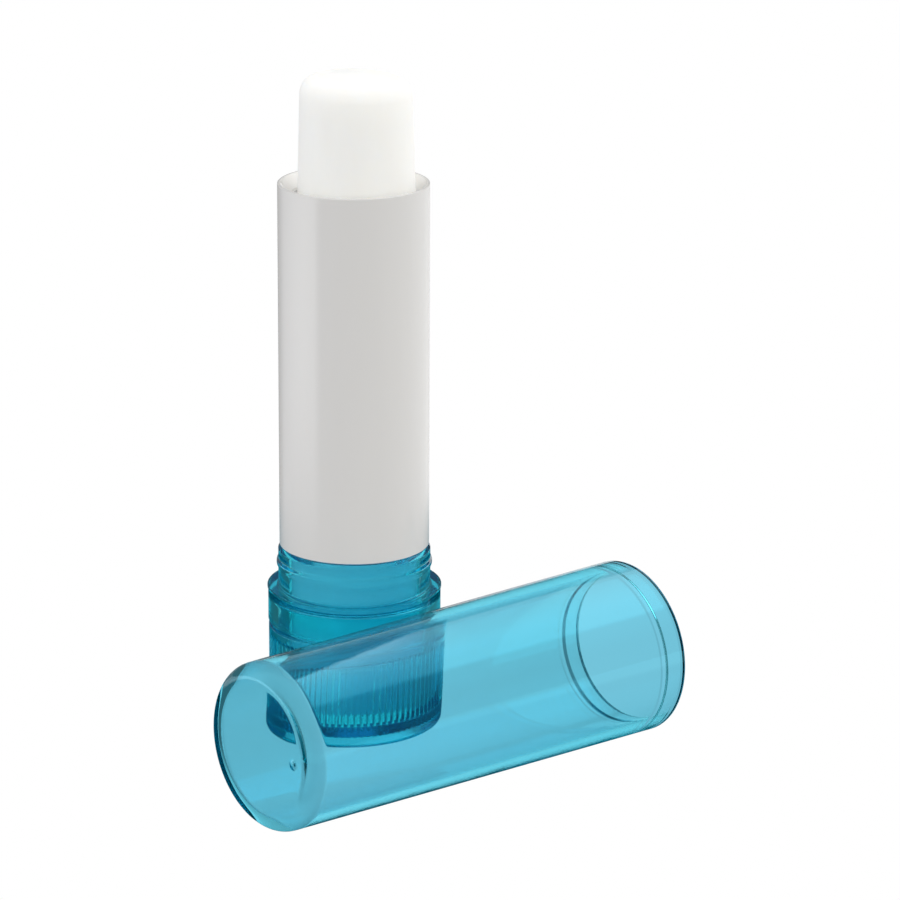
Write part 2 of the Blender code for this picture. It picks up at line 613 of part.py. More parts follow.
def add_cap(clear):
    """Clear cap on its side: its origin is the middle of its closed end, its own Z runs to the mouth."""
    place = (CAP_X, CAP_Y, CAP_END_RADIUS * math.cos(CAP_TILT))
    lean = (0.0, math.pi / 2 - CAP_TILT, 0.0)
    return add_object("cap", turned(cap_profile()), clear, None, place, lean)


def main():
    clear_scene()
    clear_base = plastic("clear_plastic_base", (0.013, 0.262, 0.417), 0.06, CLEAR_SHARE, CLEAR_IOR)
    clear_cap = plastic("clear_plastic_cap", (0.105, 0.462, 0.665), 0.05, CLEAR_SHARE, CLEAR_IOR)
    white = plastic("white_plastic", (0.80, 0.80, 0.79), 0.22)
    inner_white = plastic("white_plastic_inner", (0.76, 0.76, 0.75), 0.35)
    wax = plastic("balm_wax", (0.84, 0.82, 0.76), 0.38, 0.0, 1.44)
    stick = add_empty("stick_axis", (STICK_X, STICK_Y, 0.0))
    dial_frame = add_empty("dial_axis", (0.0, 0.0, 0.0), stick)
    lift_frame = add_empty("lift_axis", (0.0, 0.0, CARRIER_REST), stick)
    add_barrel(stick, white)
    add_collar(stick, clear_base)
    add_dial(dial_frame, clear_base)
    add_spindle(dial_frame, inner_white)
    add_carrier(lift_frame, inner_white)
    add_balm(lift_frame, wax)
    add_cap(clear_cap)
    bpy.context.view_layer.update()


main()
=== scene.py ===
"""Lip balm stick with its cap off: a white tube on a clear turquoise base, the clear cap laid in front."""
import math

import bmesh
import bpy
from mathutils import Matrix, Vector, noise


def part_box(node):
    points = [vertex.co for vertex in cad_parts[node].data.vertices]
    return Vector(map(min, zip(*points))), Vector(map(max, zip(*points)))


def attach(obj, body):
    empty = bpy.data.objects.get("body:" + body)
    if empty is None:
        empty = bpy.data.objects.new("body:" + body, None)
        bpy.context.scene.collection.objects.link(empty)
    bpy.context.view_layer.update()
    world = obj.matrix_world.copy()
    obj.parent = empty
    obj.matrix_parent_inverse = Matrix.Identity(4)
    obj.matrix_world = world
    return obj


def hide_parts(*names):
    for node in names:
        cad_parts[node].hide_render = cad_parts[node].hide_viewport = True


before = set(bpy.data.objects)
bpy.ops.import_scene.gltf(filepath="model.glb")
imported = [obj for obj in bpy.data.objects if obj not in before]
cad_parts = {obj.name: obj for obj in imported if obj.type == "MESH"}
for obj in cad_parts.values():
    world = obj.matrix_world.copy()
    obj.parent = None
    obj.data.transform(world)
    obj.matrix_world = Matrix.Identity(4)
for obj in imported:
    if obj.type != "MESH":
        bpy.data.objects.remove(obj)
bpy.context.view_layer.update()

bl_info = {
    "name": "Lip Balm Stick",
    "version": (1, 0, 0),
    "blender": (4, 5, 0),
    "location": "View3D > Sidebar > Lip Balm",
    "description": "Builds a twist-up lip balm stick, its clear cap and a plain studio round them",
    "category": "Object",
}

MM = 0.001
FULL_TURN = math.tau
CORNER_FACETS = 6           # facets in each rounded corner that shows
HIDDEN_FACETS = 2           # facets in the corners inside
SUPPORT_SHARE = 0.14        # a ring this share of a corner's reach beside it keeps flat walls flat
ON_AXIS = 0.0001 * MM       # a ring smaller than this is one point on the axis
GAP = 0.3 * MM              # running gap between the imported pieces
SEAM = 0.2 * MM             # seam between the collar and the tube's shoulder
SHARP = 0.05 * MM           # rounding of the sharpest corners
SLIGHT = 0.1 * MM           # rounding of most others
BEAD_HALF = 0.55 * MM       # half the width of the neck's snap bead, and of the cap's groove
TUBE_STEPS, SLEEVE_STEPS, CAP_STEPS, BALM_STEPS = 192, 256, 384, 160    # sides round the turned pieces
FLUTE_STEPS = 10            # sides in each flute


# Places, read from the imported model

def middle(node):
    """Middle of a node's box."""
    low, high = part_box(node)
    return (low + high) / 2


STICK_AXIS = Vector((middle("collar").x, middle("collar").y, 0.0))
COLLAR_BOTTOM, NECK_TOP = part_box("collar")[0].z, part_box("collar")[1].z
TUBE_BOTTOM, TUBE_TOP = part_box("barrel")[0].z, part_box("barrel")[1].z
TONGUE_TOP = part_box("dial")[1].z
CAP_LOW, CAP_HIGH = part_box("cap")

# The cap's own length, what it is smaller by at its closed end on the radius, and its lean as it lies
CAP_LENGTH = 51.75 * MM
CAP_TAPER = 0.55 * MM
CAP_TILT = math.atan2(CAP_TAPER, CAP_LENGTH)


# Meshes

def rounded(corners, closed):
    """Profile points (r, z) from corners (r, z, radius, facets), each rounded with its own radius."""
    points = []
    count = len(corners)
    for i, (r, z, radius, facets) in enumerate(corners):
        here = Vector((r, z))
        if radius == 0 or (not closed and i in (0, count - 1)):
            points.append((r, z))
            continue
        before = (Vector(corners[i - 1][:2]) - here).normalized()
        after = (Vector(corners[(i + 1) % count][:2]) - here).normalized()
        half = before.angle(after) / 2
        reach = radius / math.tan(half)
        centre = here + (before + after).normalized() * radius / math.sin(half)
        first = here + before * reach - centre
        last = here + after * reach - centre
        start = math.atan2(first.y, first.x)
        sweep = math.atan2(first.x * last.y - first.y * last.x, first.dot(last))
        points.append(tuple(here + before * reach * (1 + SUPPORT_SHARE)))
        for k in range(facets + 1):
            angle = start + sweep * k / facets
            points.append((centre.x + radius * math.cos(angle), centre.y + radius * math.sin(angle)))
        points.append(tuple(here + after * reach * (1 + SUPPORT_SHARE)))
    return points


def lathe(points, closed, steps):
    """A surface of revolution round Z. An open profile starts and ends on the axis."""
    bm = bmesh.new()
    rings = []
    for r, z in points:
        if r < ON_AXIS:
            rings.append([bm.verts.new((0.0, 0.0, z))])
            continue
        ring = []
        for k in range(steps):
            angle = FULL_TURN * k / steps
            ring.append(bm.verts.new((r * math.cos(angle), r * math.sin(angle), z)))
        rings.append(ring)
    pairs = list(zip(rings, rings[1:]))
    if closed:
        pairs.append((rings[-1], rings[0]))
    for low, high in pairs:
        for k in range(steps):
            n = (k + 1) % steps
            corners = [low[k % len(low)], low[n % len(low)], high[n % len(high)], high[k % len(high)]]
            unique = list(dict.fromkeys(corners))
            if len(unique) > 2:
                bm.faces.new(unique)
    bmesh.ops.recalc_face_normals(bm, faces=bm.faces)
    return bm


def through_nodes(bm, tree, values):
    """Run a mesh through a Geometry Nodes tree and take the result as a plain mesh."""
    mesh = bpy.data.meshes.new("blank")
    bm.to_mesh(mesh)
    bm.free()
    holder = bpy.data.objects.new("blank", mesh)
    bpy.context.scene.collection.objects.link(holder)
    modifier = holder.modifiers.new(tree.name, "NODES")
    modifier.node_group = tree
    for item in tree.interface.items_tree:
        if item.in_out == "INPUT" and item.name in values:
            modifier[item.identifier] = values[item.name]
    evaluated = holder.evaluated_get(bpy.context.evaluated_depsgraph_get())
    result = bpy.data.meshes.new_from_object(evaluated)
    bpy.data.objects.remove(holder)
    made = bmesh.new()
    made.from_mesh(result)
    bpy.data.meshes.remove(result)
    return made


def make_piece(name, bm, material, body, nodes=(), place=None):
    """Finish a piece: its place goes into its mesh, and it rides on its body."""
    if place is not None:
        bmesh.ops.transform(bm, matrix=place, verts=bm.verts)
    mesh = bpy.data.meshes.new(name)
    bm.to_mesh(mesh)
    bm.free()
    mesh.shade_smooth()
    mesh.materials.clear()
    mesh.materials.append(material)
    piece = bpy.data.objects.new(name, mesh)
    bpy.context.scene.collection.objects.link(piece)
    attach(piece, body)
    if nodes:
        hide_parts(*nodes)
    return piece


# Materials

def linear(hex_colour):
    """Linear RGBA from an sRGB hex colour."""
    values = []
    for i in (1, 3, 5):
        share = int(hex_colour[i:i + 2], 16) / 255
        values.append(share / 12.92 if share <= 0.04045 else ((share + 0.055) / 1.055) ** 2.4)
    return (*values, 1.0)


def add_node(tree, kind, inputs=None, **settings):
    """Add a node with its settings, and give each input a value or a link."""
    node = tree.nodes.new(kind)
    for name, value in settings.items():
        setattr(node, name, value)
    for key, value in (inputs or {}).items():
        if isinstance(value, bpy.types.NodeSocket):
            tree.links.new(value, node.inputs[key])
        else:
            node.inputs[key].default_value = value
    return node


RANGE_INPUTS = ("Value", "From Min", "From Max", "To Min", "To Max")
MIX_INPUTS = ("Factor", "A", "B")
SORTS = {   # kind of node, inputs, output, settings
    "stretch": ("ShaderNodeMapping", ("Vector", "Scale"), "Vector", {}),
    "noise": ("ShaderNodeTexNoise", ("Vector", "Scale", "Detail"), "Fac", {}),
    "bump": ("ShaderNodeBump", ("Height", "Strength", "Distance", "Normal"), "Normal", {}),
    "range": ("ShaderNodeMapRange", RANGE_INPUTS, "Result", {}),
    "smooth": ("ShaderNodeMapRange", RANGE_INPUTS, "Result", {"interpolation_type": "SMOOTHSTEP"}),
    "blend": ("ShaderNodeMix", MIX_INPUTS, "Result", {}),
    "mix": ("ShaderNodeMix", MIX_INPUTS, "Result", {"data_type": "RGBA"}),
    "tint": ("ShaderNodeMix", MIX_INPUTS, "Result", {"data_type": "RGBA", "blend_type": "MULTIPLY"}),
}


def add_rows(tree, made, rows):
    """Add a node for each row (name, sort, inputs), and keep its output in made under that name.

    A sort in capitals is an operation of the Math node. An input is a value, or the name of one in made.
    """
    for name, sort, *values in rows:
        operation = ("ShaderNodeMath", (0, 1, 2), "Value", {"operation": sort})
        kind, sockets, output, chosen = SORTS.get(sort, operation)
        inputs = {socket: made.get(value, value) for socket, value in zip(sockets, values)}
        made[name] = add_node(tree, kind, inputs, **chosen).outputs[output]


def new_material(name):
    """An empty node material and its output."""
    material = bpy.data.materials.new(name)
    material.use_nodes = True
    material.node_tree.nodes.clear()
    return material, material.node_tree, add_node(material.node_tree, "ShaderNodeOutputMaterial")


LIT_THROUGH = "#FCFCFA"     # painted glow: white plastic painted paler, for light coming through it
MIRROR_TINT = "#61E7FF"     # of what clear turquoise plastic mirrors
ACETAL = "#EDEDEA"          # natural white of the drive screw and its nut


def moulded_white(name, colour, roughness, bore=0.0):
    """White polypropylene, injection moulded and polished: a clean gloss over a slightly milky body.

    The eye gets broad soft reflections that a faint mould waviness bends, and a trace of light that
    bleeds through the wall at its edges. In the bore above the neck the colour is painted paler, a painted
    glow for light that comes through the wall there.
    """
    material, tree, output = new_material(name)
    place = add_node(tree, "ShaderNodeTexCoord").outputs["Object"]
    from_axis = add_node(tree, "ShaderNodeVectorMath", {0: place, 1: STICK_AXIS}, operation="SUBTRACT")
    flat = add_node(tree, "ShaderNodeVectorMath", {
        0: from_axis.outputs["Vector"], 1: (1.0, 1.0, 0.0)}, operation="MULTIPLY")
    radius = add_node(tree, "ShaderNodeVectorMath", {0: flat.outputs["Vector"]}, operation="LENGTH")
    height = add_node(tree, "ShaderNodeSeparateXYZ", {"Vector": place}).outputs["Z"]
    made = {"place": place, "radius": radius.outputs["Value"], "height": height}
    white = linear(colour)
    add_rows(tree, made, (
        ("flow", "stretch", "place", (1.0, 1.0, 0.12)),
        ("wave", "noise", "flow", 1 / (3.5 * MM), 2.0),
        ("grain", "noise", "place", 1 / (0.16 * MM), 3.0),
        ("rough", "range", "grain", 0.3, 0.7, roughness * 0.85, roughness * 1.2),
        ("tone", "mix", "wave", white, (*(c * 0.97 for c in white[:3]), 1.0)),
        ("fine", "bump", "grain", 0.25, 0.0025 * MM),
        ("relief", "bump", "wave", 0.5, 0.006 * MM, "fine"),
        # Painted glow: inner surfaces above the neck are painted paler, for light that comes through the wall
        ("above", "range", "height", NECK_TOP + 1.0 * MM, NECK_TOP + 2.0 * MM),
        ("inside", "range", "radius", bore + 0.95 * MM, bore + 0.6 * MM, 0.0, "above"),
        ("body", "mix", "inside", "tone", linear(LIT_THROUGH))))
    shader = add_node(tree, "ShaderNodeBsdfPrincipled", {
        "Base Color": made["body"], "Roughness": made["rough"], "IOR": 1.49, "Subsurface Weight": 0.12,
        "Subsurface Scale": 0.6 * MM, "Subsurface Radius": (1.0, 0.9, 0.8), "Normal": made["relief"]})
    tree.links.new(shader.outputs["BSDF"], output.inputs["Surface"])
    return material


def clear_styrene(name, tint, pass_colour, depth, roughness):
    """Clear tinted styrene copolymer, injection moulded and polished like glass.

    Most of the colour shows alike in thin walls and thick edges. The rest deepens with the way that
    light takes through the plastic. What it mirrors is turquoise too. Slow waviness from the mould's
    flow bends what shows through it.
    """
    material, tree, output = new_material(name)
    place = add_node(tree, "ShaderNodeTexCoord").outputs["Object"]
    made = {"place": place}
    add_rows(tree, made, (
        ("wave", "noise", "place", 1 / (4.0 * MM), 1.0),
        ("haze", "noise", "place", 1 / (0.5 * MM), 3.0),
        ("rough", "range", "haze", 0.35, 0.75, roughness * 0.4, roughness),
        ("relief", "bump", "wave", 0.4, 0.012 * MM)))
    shader = add_node(tree, "ShaderNodeBsdfPrincipled", {
        "Base Color": linear(tint), "Roughness": made["rough"], "IOR": 1.57, "Transmission Weight": 1.0,
        "Specular Tint": linear(MIRROR_TINT), "Normal": made["relief"]})
    dye = add_node(tree, "ShaderNodeVolumeAbsorption", {"Color": linear(pass_colour), "Density": 1 / depth})
    tree.links.new(shader.outputs["BSDF"], output.inputs["Surface"])
    tree.links.new(dye.outputs["Volume"], output.inputs["Volume"])
    return material


def poured_balm(name, colour, shade):
    """Beeswax-like balm, poured and set: dense, faintly translucent, with a soft greasy sheen."""
    material, tree, output = new_material(name)
    place = add_node(tree, "ShaderNodeTexCoord").outputs["Object"]
    made = {"place": place}
    add_rows(tree, made, (
        ("streak", "stretch", "place", (1.0, 1.0, 0.25)),
        ("cloud", "noise", "streak", 1 / (2.2 * MM), 4.0),
        ("grain", "noise", "place", 1 / (0.28 * MM), 4.0),
        ("tone", "mix", "cloud", linear(colour), linear(shade)),
        ("rough", "range", "cloud", 0.3, 0.7, 0.48, 0.60),
        ("fine", "bump", "grain", 0.3, 0.006 * MM),
        ("relief", "bump", "cloud", 0.4, 0.03 * MM, "fine")))
    shader = add_node(tree, "ShaderNodeBsdfPrincipled", {
        "Base Color": made["tone"], "Roughness": made["rough"], "IOR": 1.44, "Specular IOR Level": 0.3,
        "Subsurface Weight": 1.0, "Subsurface Scale": 3.0 * MM, "Subsurface Radius": (1.0, 0.95, 0.88),
        "Normal": made["relief"]})
    tree.links.new(shader.outputs["BSDF"], output.inputs["Surface"])
    return material


# Settings that a user would change

def size_setting(name, millimetres, description):
    """A length that a user would change, given in millimetres."""
    return bpy.props.FloatProperty(
        name=name, description=description, default=millimetres * MM, unit="LENGTH")


def colour_setting(name, default, description):
    """A colour that a user would change, given as sRGB hex."""
    return bpy.props.StringProperty(name=name, description=description, default=default)


class BarrelSettings(bpy.types.PropertyGroup):
    """White inner tube."""
    colour: colour_setting("Colour", "#D8D7D5", "sRGB hex colour of the white plastic")
    radius: size_setting("Radius", 8.36, "Outer radius")
    bore: size_setting("Bore", 7.3, "Inner radius")
    rim: size_setting("Rim", 0.34, "Width of the flat ring at the mouth")
    lip: size_setting("Lip", 6.95, "Radius of the mouth, where its bevel ends")
    lip_depth: size_setting("Lip depth", 1.3, "Depth of the bevel inside the mouth")
    spigot: size_setting("Spigot", 7.05, "Outer radius of the spigot that the collar and the dial sit round")
    spigot_wall: size_setting("Spigot wall", 1.0, "Thickness of the spigot")
    ribs: bpy.props.IntProperty(name="Ribs", description="Guide ribs in the bore", default=4, min=2)


class CollarSettings(bpy.types.PropertyGroup):
    """Clear sleeve with the neck that the cap snaps on."""
    tint: colour_setting("Tint", "#BCFBFE", "sRGB hex colour of one wall")
    dye: colour_setting("Dye", "#C4F6FA", "sRGB hex colour that the dye lets through")
    depth: size_setting("Dye depth", 1.0, "Thickness over which the dye takes full effect")
    neck: size_setting("Neck", 8.52, "Outer radius of the neck")
    neck_height: size_setting("Neck height", 4.6, "From the ledge to the neck's top")
    chamfer: size_setting("Chamfer", 0.36, "Chamfer at the neck's top")
    bead: size_setting("Bead", 0.18, "How far the snap bead stands out")
    bead_above: size_setting("Bead place", 2.66, "Middle of the snap bead above the ledge")
    band: size_setting("Band", 9.67, "Outer radius of the smooth band")
    edge: size_setting("Edge", 0.08, "How far the band's top edge stands out")
    bore: size_setting("Bore", 7.35, "Inner radius of the neck")
    skirt: size_setting("Skirt bore", 8.6, "Inner radius of the band")
    web: size_setting("Web", 1.1, "Thickness of the ledge")


class DialSettings(bpy.types.PropertyGroup):
    """Clear fluted knob."""
    radius: size_setting("Radius", 9.62, "Outer radius")
    height: size_setting("Height", 12.6, "Height of the knob without its tongue")
    wall: size_setting("Wall", 1.3, "Thickness of the side")
    floor: size_setting("Floor", 1.4, "Thickness of the floor")
    recess: size_setting("Recess", 1.2, "Depth of the recess under the floor")
    foot: size_setting("Foot rounding", 1.2, "Radius of the foot's rounded edge")
    foot_ring: size_setting("Foot ring", 1.1, "Width of the flat ring that it stands on")
    flutes: bpy.props.IntProperty(name="Flutes", description="Flutes round the dial", default=84, min=12)
    flute_depth: size_setting("Flute depth", 0.26, "Depth of each flute")
    flute_start: size_setting("Flute start", 3.2, "Plain band under the flutes")
    flute_land: size_setting("Flute land", 0.9, "Plain band over the flutes")
    boss: size_setting("Boss height", 2.8, "Height of the boss that drives the screw")


class BalmSettings(bpy.types.PropertyGroup):
    """Stick of balm."""
    colour: colour_setting("Colour", "#FBF8F4", "sRGB hex colour of the balm")
    shade: colour_setting("Shade", "#F6F3EE", "sRGB hex colour of its cloudier parts")
    radius: size_setting("Radius", 6.45, "Radius of the column")
    nose: size_setting("Nose radius", 6.19, "Radius just under the nose's rounding")
    fillet: size_setting("Nose rounding", 2.0, "Radius of the nose's rounded edge")
    length: size_setting("Length", 37.6, "From its foot in the cup to its nose")


class CapSettings(bpy.types.PropertyGroup):
    """Clear cap."""
    tint: colour_setting("Tint", "#B3E1EF", "sRGB hex colour of one wall")
    dye: colour_setting("Dye", "#E2FBFC", "sRGB hex colour that the dye lets through")
    depth: size_setting("Dye depth", 1.0, "Thickness over which the dye takes full effect")
    mouth: size_setting("Mouth radius", 9.75, "Outer radius at the mouth")
    bore_mouth: size_setting("Bore at the mouth", 8.66, "Inner radius at the mouth")
    bore_end: size_setting("Bore at the end", 8.48, "Inner radius at the closed end")
    wall: size_setting("End wall", 1.2, "Thickness of the closed end")
    edge: size_setting("End rounding", 1.8, "Radius of the closed end's outer edge")
    corner: size_setting("Bottom rounding", 1.3, "Radius of the closed end's inner corner")
    groove_depth: size_setting("Groove depth", 0.14, "Depth of the groove that snaps over the neck's bead")
    nub: size_setting("Gate nub", 0.15, "How far the nub left by the mould's gate stands out")


class StageSettings(bpy.types.PropertyGroup):
    """Floor, light and camera."""
    floor: bpy.props.FloatProperty(name="Floor", description="Side of the floor", default=6.0, unit="LENGTH")
    light: bpy.props.FloatProperty(name="Light", description="Strength of the studio's light", default=1.0)
    lens: bpy.props.FloatProperty(
        name="Lens", description="Focal length of the camera in millimetres", default=170.66)


# Pieces

def settings(name):
    """The scene's settings of one piece."""
    return getattr(bpy.context.scene, "balm_stick_" + name)


def on_stick():
    """Place of what turns or stands on the stick's axis."""
    return Matrix.Translation(STICK_AXIS)


def new_tree(name, sockets):
    """An empty Geometry Nodes tree that takes and gives geometry, and what its inputs give."""
    tree = bpy.data.node_groups.new(name, "GeometryNodeTree")
    for label, kind in (("Geometry", "Geometry"), *sockets, ("Material", "Material")):
        tree.interface.new_socket(label, in_out="INPUT", socket_type="NodeSocket" + kind)
    tree.interface.new_socket("Geometry", in_out="OUTPUT", socket_type="NodeSocketGeometry")
    return tree, add_node(tree, "NodeGroupInput").outputs


def end_tree(tree, geometry, material):
    """Make plain geometry of what a tree has made, give it its material and put it out."""
    real = add_node(tree, "GeometryNodeRealizeInstances", {"Geometry": geometry}).outputs["Geometry"]
    painted = add_node(tree, "GeometryNodeSetMaterial", {"Geometry": real, "Material": material})
    add_node(tree, "NodeGroupOutput", {"Geometry": painted.outputs["Geometry"]})
    return tree


def ring_tree():
    """Geometry Nodes that set copies of one bar evenly round the Z axis."""
    tree, given = new_tree("bars in a ring", [("Bars", "Int")])
    made = {"index": add_node(tree, "GeometryNodeInputIndex").outputs["Index"], "bars": given["Bars"]}
    add_rows(tree, made, (("step", "DIVIDE", FULL_TURN, "bars"), ("turn", "MULTIPLY", "index", "step")))
    angles = add_node(tree, "ShaderNodeCombineXYZ", {"Z": made["turn"]}).outputs["Vector"]
    rotation = add_node(tree, "FunctionNodeEulerToRotation", {"Euler": angles}).outputs["Rotation"]
    points = add_node(tree, "GeometryNodePoints", {"Count": given["Bars"]}).outputs["Points"]
    bars = add_node(tree, "GeometryNodeInstanceOnPoints", {
        "Points": points, "Instance": given["Geometry"], "Rotation": rotation}).outputs["Instances"]
    return end_tree(tree, bars, given["Material"])


def guide_ribs(s, bottom, top, material):
    """The ribs that keep the carrier from turning, sunk a little into the bore."""
    proud, width, sunk, edge = 0.35 * MM, 1.0 * MM, 0.2 * MM, 0.08 * MM
    bar = bmesh.new()
    place = Matrix.Translation((s.bore + (sunk - proud) / 2, 0.0, (bottom + top) / 2))
    shape = Matrix.Diagonal((proud + sunk, width, top - bottom, 1.0))
    bmesh.ops.create_cube(bar, size=1.0, matrix=place @ shape)
    bmesh.ops.bevel(bar, geom=bar.edges, offset=edge, segments=2, affect="EDGES")
    return through_nodes(bar, ring_tree(), {"Bars": s.ribs, "Material": material})


class BALMSTICK_OT_barrel(bpy.types.Operator):
    """White tube with its bevelled mouth, its guide ribs and its spigot"""
    bl_idname = "balm_stick.barrel"
    bl_label = "Barrel"

    def execute(self, context):
        s = settings("barrel")
        white = moulded_white("moulded white polypropylene", s.colour, 0.2, s.bore)
        shoulder = NECK_TOP + SEAM
        inner = s.spigot - s.spigot_wall
        step_top = shoulder + s.spigot_wall
        snap_top, snap_bottom, snap_land = 10.7 * MM, 9.8 * MM, 0.3 * MM
        snap = s.spigot + 0.6 * MM
        web_bottom = TUBE_BOTTOM + 3.6 * MM
        web_top = web_bottom + 1.0 * MM
        screw_hole = 3.1 * MM
        lip_bottom = TUBE_TOP - s.lip_depth
        lip_land, lip_step = 0.3 * MM, 0.7 * MM
        rib_start, rib_stop = 0.6 * MM, 2.5 * MM
        show, hide = CORNER_FACETS, HIDDEN_FACETS
        corners = [     # radius, height, rounding, facets
            (s.radius, TUBE_TOP, 0.14 * MM, show),
            (s.radius, shoulder, 0.08 * MM, show),
            (s.spigot, shoulder, SHARP, hide),
            (s.spigot, snap_top, SHARP, hide),
            (snap, snap_top, SHARP, hide),
            (snap, snap_top - snap_land, SLIGHT, hide),
            (s.spigot, snap_bottom, SLIGHT, hide),
            (s.spigot, TUBE_BOTTOM, 0.3 * MM, hide),
            (inner, TUBE_BOTTOM, SLIGHT, hide),
            (inner, web_bottom, SHARP, hide),
            (screw_hole, web_bottom, SLIGHT, hide),
            (screw_hole, web_top, SLIGHT, hide),
            (inner, web_top, SHARP, hide),
            (inner, shoulder, SLIGHT, hide),
            (s.bore, step_top, SLIGHT, hide),
            (s.bore, lip_bottom - lip_step, SLIGHT, hide),
            (s.lip, lip_bottom - lip_land, SLIGHT, show),
            (s.lip, lip_bottom, 0.2 * MM, show),
            (s.radius - s.rim, TUBE_TOP, SLIGHT, show),
        ]
        bm = lathe(rounded(corners, True), True, TUBE_STEPS)
        ribs = guide_ribs(s, step_top + rib_start, TUBE_TOP - rib_stop, white)
        spare = bpy.data.meshes.new("ribs")
        ribs.to_mesh(spare)
        ribs.free()
        bm.from_mesh(spare)
        bpy.data.meshes.remove(spare)
        tube = make_piece("barrel_tube", bm, white, "tube", ["barrel"], on_stick())
        tube.visible_glossy = False
        return {"FINISHED"}


class BALMSTICK_OT_collar(bpy.types.Operator):
    """Clear sleeve with neck, snap bead, ledge and band"""
    bl_idname = "balm_stick.collar"
    bl_label = "Collar"

    def execute(self, context):
        s = settings("collar")
        clear = clear_styrene("clear tinted styrene, base", s.tint, s.dye, s.depth, 0.05)
        ledge = NECK_TOP - s.neck_height
        bead = s.neck + s.bead
        bead_middle = ledge + s.bead_above
        bead_flat = 0.2 * MM
        lip = s.band + s.edge
        lip_land, lip_bottom = 0.26 * MM, 0.34 * MM
        corners = [     # radius, height, rounding
            (s.neck - s.chamfer, NECK_TOP, 0.06 * MM),
            (s.neck, NECK_TOP - s.chamfer, 0.08 * MM),
            (s.neck, bead_middle + BEAD_HALF, 0.4 * MM),
            (bead, bead_middle + bead_flat, 0.5 * MM),
            (bead, bead_middle - bead_flat, 0.5 * MM),
            (s.neck, bead_middle - BEAD_HALF, 0.4 * MM),
            (s.neck, ledge, 0.16 * MM),
            (lip, ledge, 0.08 * MM),
            (lip, ledge - lip_land, SHARP),
            (s.band, ledge - lip_bottom, SHARP),
            (s.band, COLLAR_BOTTOM, 0.12 * MM),
            (s.skirt, COLLAR_BOTTOM, SHARP),
            (s.skirt, ledge - s.web, 0.5 * MM),
            (s.bore, ledge - s.web, 0.2 * MM),
            (s.bore, NECK_TOP, SHARP),
        ]
        points = rounded([(*corner, CORNER_FACETS) for corner in corners], True)
        make_piece("collar_sleeve", lathe(points, True, SLEEVE_STEPS), clear,
                   "tube", ["collar"], on_stick())
        return {"FINISHED"}


def flute_tree():
    """Geometry Nodes that press flutes into a turned shell: the radius follows a wave round the axis."""
    lengths = ("Depth", "Start", "End", "Run-out", "Shell radius")
    tree, given = new_tree("pressed flutes", [("Flutes", "Int"), *((name, "Float") for name in lengths)])
    position = add_node(tree, "GeometryNodeInputPosition").outputs["Position"]
    xyz = add_node(tree, "ShaderNodeSeparateXYZ", {"Vector": position}).outputs
    flat = add_node(tree, "ShaderNodeCombineXYZ", {"X": xyz["X"], "Y": xyz["Y"]}).outputs["Vector"]
    radius = add_node(tree, "ShaderNodeVectorMath", {0: flat}, operation="LENGTH").outputs["Value"]
    outward = add_node(tree, "ShaderNodeVectorMath", {0: flat}, operation="NORMALIZE").outputs["Vector"]
    made = {name: given[name] for name in ("Flutes", *lengths)}
    made.update(x=xyz["X"], y=xyz["Y"], z=xyz["Z"], radius=radius)
    add_rows(tree, made, (
        ("angle", "ARCTAN2", "y", "x"), ("turns", "MULTIPLY", "angle", "Flutes"), ("wave", "COSINE", "turns"),
        ("dip", "smooth", "wave", 0.7, -0.7),
        ("low", "ADD", "Start", "Run-out"), ("rise", "smooth", "z", "Start", "low"),
        ("high", "SUBTRACT", "End", "Run-out"), ("fall", "smooth", "z", "End", "high"),
        ("ends", "MULTIPLY", "rise", "fall"), ("outer", "GREATER_THAN", "radius", "Shell radius"),
        ("zone", "MULTIPLY", "ends", "outer"), ("shape", "MULTIPLY", "dip", "zone"),
        ("depth", "MULTIPLY", "shape", "Depth"), ("inward", "MULTIPLY", "depth", -1.0)))
    move = add_node(tree, "ShaderNodeVectorMath", {0: outward, "Scale": made["inward"]}, operation="SCALE")
    moved = add_node(tree, "GeometryNodeSetPosition", {
        "Geometry": given["Geometry"], "Offset": move.outputs["Vector"]})
    return end_tree(tree, moved.outputs["Geometry"], given["Material"])


def flute_levels(start, end, run_out):
    """Heights of the rings on the dial's side, close together where the flutes run out."""
    steps, spans = 5, 4     # in each run-out, and between the two
    levels = [end - run_out * k / steps for k in range(steps + 1)]
    levels += [end - run_out + (start - end + 2 * run_out) * k / spans for k in range(1, spans)]
    levels += [start + run_out * (1 - k / steps) for k in range(steps + 1)]
    return levels


